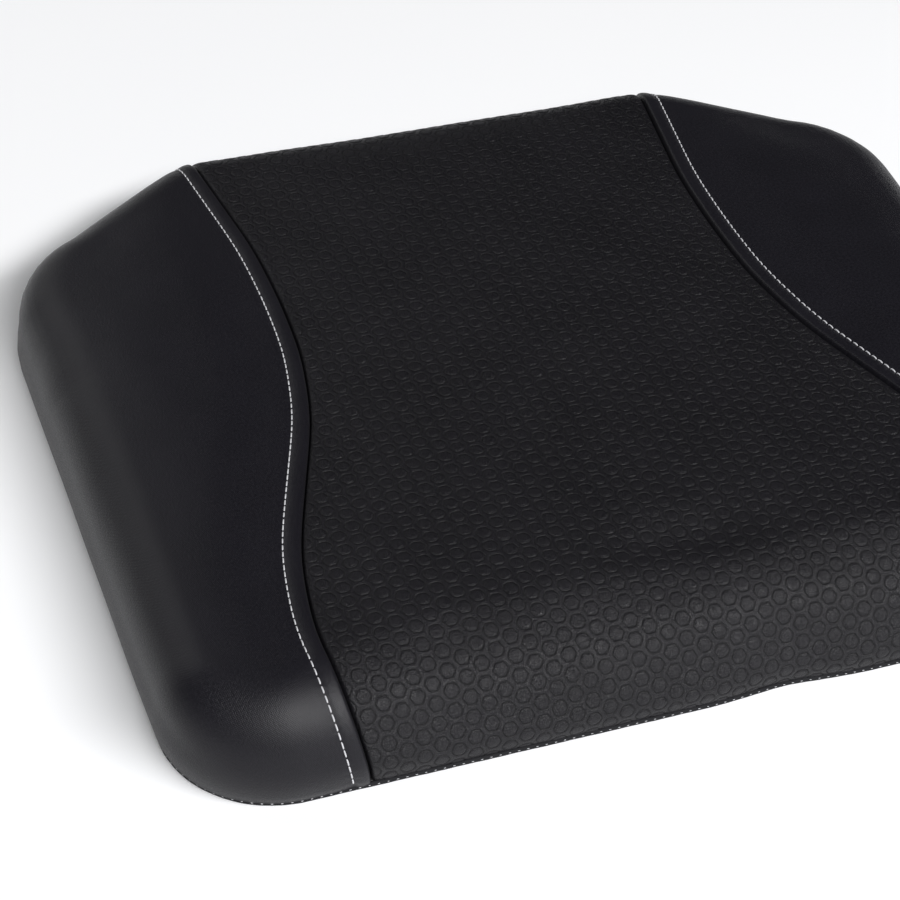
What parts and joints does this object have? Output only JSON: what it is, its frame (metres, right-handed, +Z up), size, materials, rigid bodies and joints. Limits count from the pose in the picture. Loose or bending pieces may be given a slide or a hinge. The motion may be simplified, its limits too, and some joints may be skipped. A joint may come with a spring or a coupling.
{
  "type": "racing seat base cushion",
  "caption": "Removable upholstered base cushion of a racing bucket seat, honeycomb vinyl centre, topstitched side wings, piped lower edge and rear cover zip.",
  "frame": {"origin": "centre of the underside, on the surface that the cushion stands on", "axes": "+X across the seat to the sitter's right, +Y towards the backrest, +Z up out of the sitting surface"},
  "size_m": [0.4318, 0.3758, 0.0472],
  "materials": {
    "honeycomb_vinyl": "black vinyl embossed with 8 mm honeycomb cells",
    "wing_textile": "smooth fine black textile",
    "base_fabric": "coarse dark non-slip woven fabric",
    "welt_textile": "black bias-cut piping",
    "welt_core": "twisted white filler cord",
    "white_thread": "white bonded thread",
    "dark_thread": "dark grey bonded thread",
    "comfort_foam": "soft grey open-cell foam",
    "support_foam": "firm charcoal moulded foam",
    "hook_tape": "black hook-and-loop tape, hook side",
    "zip_tape": "black woven zip tape",
    "zip_plastic": "black moulded zip teeth",
    "zip_metal": "black lacquered die-cast metal"
  },
  "bodies": {
    "cushion": {"centre_panel": "honeycomb_vinyl", "rear_zip_panel": "wing_textile", "right_wing_panel": "wing_textile", "left_wing_panel": "wing_textile", "right_seam_allowance": "wing_textile", "left_seam_allowance": "wing_textile", "base_panel": "base_fabric", "perimeter_welt": "welt_textile", "welt_cord": "welt_core", "perimeter_stitches": "white_thread", "comfort_foam": "comfort_foam", "foam_core": "support_foam", "right_bolster_foam": "support_foam", "left_bolster_foam": "support_foam", "right_topstitch": "white_thread", "left_topstitch": "white_thread", "front_hook_strip": "hook_tape", "rear_hook_strip": "hook_tape", "hook_strip_stitches": "dark_thread", "zip_tape_upper": "zip_tape", "zip_tape_lower": "zip_tape", "zip_teeth_upper": "zip_plastic", "zip_teeth_lower": "zip_plastic", "zip_stitches": "dark_thread", "zip_end_stops": "zip_metal"},
    "slider": {"zip_slider": "zip_metal"},
    "pull_tab": {"zip_pull_tab": "zip_metal"}
  },
  "joints": [
    {"name": "zip_slide", "type": "slide", "parent": "cushion", "child": "slider", "axis": [1, 0, 0], "range_m": [-0.156, 0]},
    {"name": "pull_tab_swing", "type": "hinge", "parent": "slider", "child": "pull_tab", "pos_m": [0.078, 0.18705, 0.0155], "axis": [0, 0, -1], "range_deg": [0, 175]}
  ]
}
